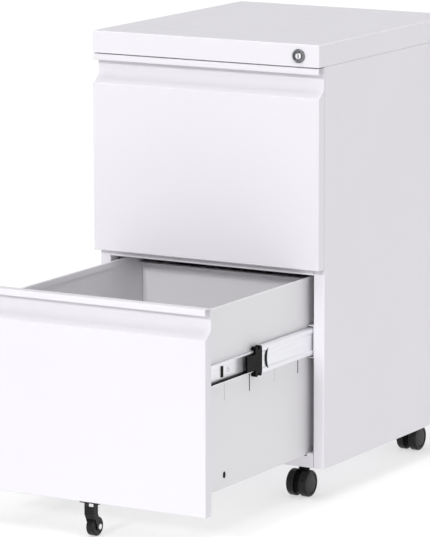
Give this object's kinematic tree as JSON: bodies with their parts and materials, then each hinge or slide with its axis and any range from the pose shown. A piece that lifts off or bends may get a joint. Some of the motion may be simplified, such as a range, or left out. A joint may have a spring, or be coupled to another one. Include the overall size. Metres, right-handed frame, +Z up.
{
  "type": "mobile filing cabinet",
  "caption": "Mobile pedestal filing cabinet: sheet-steel body on twin-wheel casters, file drawers on telescopic slides, a lock in the top hood.",
  "frame": {"origin": "on the floor, below the middle of the object's box with the lower drawer 325 mm open", "axes": "+Z up, drawers open towards -Y, +X to the right of someone facing the drawers"},
  "size_m": [0.38, 0.768, 0.6762],
  "materials": {
    "white_powder_coat": "satin white powder coat on sheet steel",
    "drawer_powder_coat": "satin white powder coat, inside pieces",
    "zinc_steel": "zinc-plated rolled steel",
    "bright_zinc": "bright zinc plate",
    "lock_chrome": "polished chrome plate",
    "black_paint": "black painted stamped steel",
    "black_plastic": "moulded black plastic",
    "wheel_nylon": "moulded dark grey nylon",
    "soft_rubber": "soft translucent rubber"
  },
  "bodies": {
    "cabinet": {"side_panel_left": "white_powder_coat", "side_panel_right": "white_powder_coat", "back_panel": "white_powder_coat", "top_hood": "white_powder_coat", "base_pan": "white_powder_coat", "cross_rail": "white_powder_coat", "slide_uprights": "white_powder_coat", "lower_outer_slides": "zinc_steel", "upper_outer_slides": "zinc_steel", "caster_stems": "black_plastic", "lock_barrel": "lock_chrome", "lock_nut": "bright_zinc", "lock_guides": "black_plastic"},
    "lower_drawer": {"lower_front_panel": "white_powder_coat", "lower_front_liner": "white_powder_coat", "lower_side_right": "drawer_powder_coat", "lower_side_left": "drawer_powder_coat", "lower_bottom": "drawer_powder_coat", "lower_back": "drawer_powder_coat", "lower_bumpers": "soft_rubber", "lower_lock_catch": "zinc_steel", "lower_inner_slides": "zinc_steel", "lower_slide_stops": "black_plastic", "antitip_fork": "black_paint", "antitip_axle": "bright_zinc"},
    "upper_drawer": {"upper_front_panel": "white_powder_coat", "upper_front_liner": "white_powder_coat", "upper_side_right": "drawer_powder_coat", "upper_side_left": "drawer_powder_coat", "upper_bottom": "drawer_powder_coat", "upper_back": "drawer_powder_coat", "upper_bumpers": "soft_rubber", "upper_lock_catch": "zinc_steel", "upper_inner_slides": "zinc_steel", "upper_slide_stops": "black_plastic"},
    "lower_runners": {"lower_middle_slides": "zinc_steel", "lower_retainers": "black_plastic"},
    "upper_runners": {"upper_middle_slides": "zinc_steel", "upper_retainers": "black_plastic"},
    "tip_wheel": {"antitip_wheel": "wheel_nylon"},
    "key_plug": {"lock_plug": "lock_chrome", "lock_shaft": "bright_zinc"},
    "latch_bar": {"lock_bar": "zinc_steel"},
    "caster_front_left": {"caster_front_left_housing": "black_plastic", "caster_front_left_axle": "bright_zinc"},
    "wheel_front_left_left": {"caster_front_left_wheel_left": "wheel_nylon"},
    "wheel_front_left_right": {"caster_front_left_wheel_right": "wheel_nylon"},
    "caster_front_right": {"caster_front_right_housing": "black_plastic", "caster_front_right_axle": "bright_zinc"},
    "wheel_front_right_left": {"caster_front_right_wheel_left": "wheel_nylon"},
    "wheel_front_right_right": {"caster_front_right_wheel_right": "wheel_nylon"},
    "caster_rear_left": {"caster_rear_left_housing": "black_plastic", "caster_rear_left_axle": "bright_zinc"},
    "wheel_rear_left_left": {"caster_rear_left_wheel_left": "wheel_nylon"},
    "wheel_rear_left_right": {"caster_rear_left_wheel_right": "wheel_nylon"},
    "caster_rear_right": {"caster_rear_right_housing": "black_plastic", "caster_rear_right_axle": "bright_zinc"},
    "wheel_rear_right_left": {"caster_rear_right_wheel_left": "wheel_nylon"},
    "wheel_rear_right_right": {"caster_rear_right_wheel_right": "wheel_nylon"}
  },
  "joints": [
    {"name": "drawer_lower", "type": "slide", "parent": "cabinet", "child": "lower_drawer", "axis": [0, -1, 0], "range_m": [-0.325, 0.05]},
    {"name": "drawer_upper", "type": "slide", "parent": "cabinet", "child": "upper_drawer", "axis": [0, -1, 0], "range_m": [0, 0.375]},
    {"name": "runners_lower", "type": "slide", "parent": "cabinet", "child": "lower_runners", "axis": [0, -1, 0], "range_m": [-0.1931, 0.0298]},
    {"name": "runners_upper", "type": "slide", "parent": "cabinet", "child": "upper_runners", "axis": [0, -1, 0], "range_m": [0, 0.2228]},
    {"name": "lock_turn", "type": "hinge", "parent": "cabinet", "child": "key_plug", "pos_m": [0.1575, -0.059, 0.6589], "axis": [0, -1, 0], "range_deg": [0, 90]},
    {"name": "lock_bar_lift", "type": "slide", "parent": "cabinet", "child": "latch_bar", "axis": [0, 0, 1], "range_m": [0, 0.0099]},
    {"name": "wheel_tip", "type": "hinge", "parent": "lower_drawer", "child": "tip_wheel", "pos_m": [0, -0.3692, 0.0146], "axis": [1, 0, 0], "continuous": true},
    {"name": "swivel_front_left", "type": "hinge", "parent": "cabinet", "child": "caster_front_left", "pos_m": [-0.1379, -0.0019, 0.045], "axis": [0, 0, 1], "continuous": true},
    {"name": "wheel_front_left_left", "type": "hinge", "parent": "caster_front_left", "child": "wheel_front_left_left", "pos_m": [-0.1486, -0.0124, 0.02], "axis": [1, 0, 0], "continuous": true},
    {"name": "wheel_front_left_right", "type": "hinge", "parent": "caster_front_left", "child": "wheel_front_left_right", "pos_m": [-0.1272, -0.0124, 0.02], "axis": [1, 0, 0], "continuous": true},
    {"name": "swivel_front_right", "type": "hinge", "parent": "cabinet", "child": "caster_front_right", "pos_m": [0.1379, -0.0019, 0.045], "axis": [0, 0, 1], "continuous": true},
    {"name": "wheel_front_right_left", "type": "hinge", "parent": "caster_front_right", "child": "wheel_front_right_left", "pos_m": [0.1272, -0.0124, 0.02], "axis": [1, 0, 0], "continuous": true},
    {"name": "wheel_front_right_right", "type": "hinge", "parent": "caster_front_right", "child": "wheel_front_right_right", "pos_m": [0.1486, -0.0124, 0.02], "axis": [1, 0, 0], "continuous": true},
    {"name": "swivel_rear_left", "type": "hinge", "parent": "cabinet", "child": "caster_rear_left", "pos_m": [-0.1379, 0.351, 0.045], "axis": [0, 0, 1], "continuous": true},
    {"name": "wheel_rear_left_left", "type": "hinge", "parent": "caster_rear_left", "child": "wheel_rear_left_left", "pos_m": [-0.1486, 0.3405, 0.02], "axis": [1, 0, 0], "continuous": true},
    {"name": "wheel_rear_left_right", "type": "hinge", "parent": "caster_rear_left", "child": "wheel_rear_left_right", "pos_m": [-0.1272, 0.3405, 0.02], "axis": [1, 0, 0], "continuous": true},
    {"name": "swivel_rear_right", "type": "hinge", "parent": "cabinet", "child": "caster_rear_right", "pos_m": [0.1379, 0.351, 0.045], "axis": [0, 0, 1], "continuous": true},
    {"name": "wheel_rear_right_left", "type": "hinge", "parent": "caster_rear_right", "child": "wheel_rear_right_left", "pos_m": [0.1272, 0.3405, 0.02], "axis": [1, 0, 0], "continuous": true},
    {"name": "wheel_rear_right_right", "type": "hinge", "parent": "caster_rear_right", "child": "wheel_rear_right_right", "pos_m": [0.1486, 0.3405, 0.02], "axis": [1, 0, 0], "continuous": true}
  ],
  "couplings": [
    {"joint": "runners_lower", "follows": "drawer_lower", "ratio": 0.594},
    {"joint": "runners_upper", "follows": "drawer_upper", "ratio": 0.594},
    {"joint": "lock_turn", "follows": "lock_bar_lift", "rad_per_m": 158.66}
  ]
}
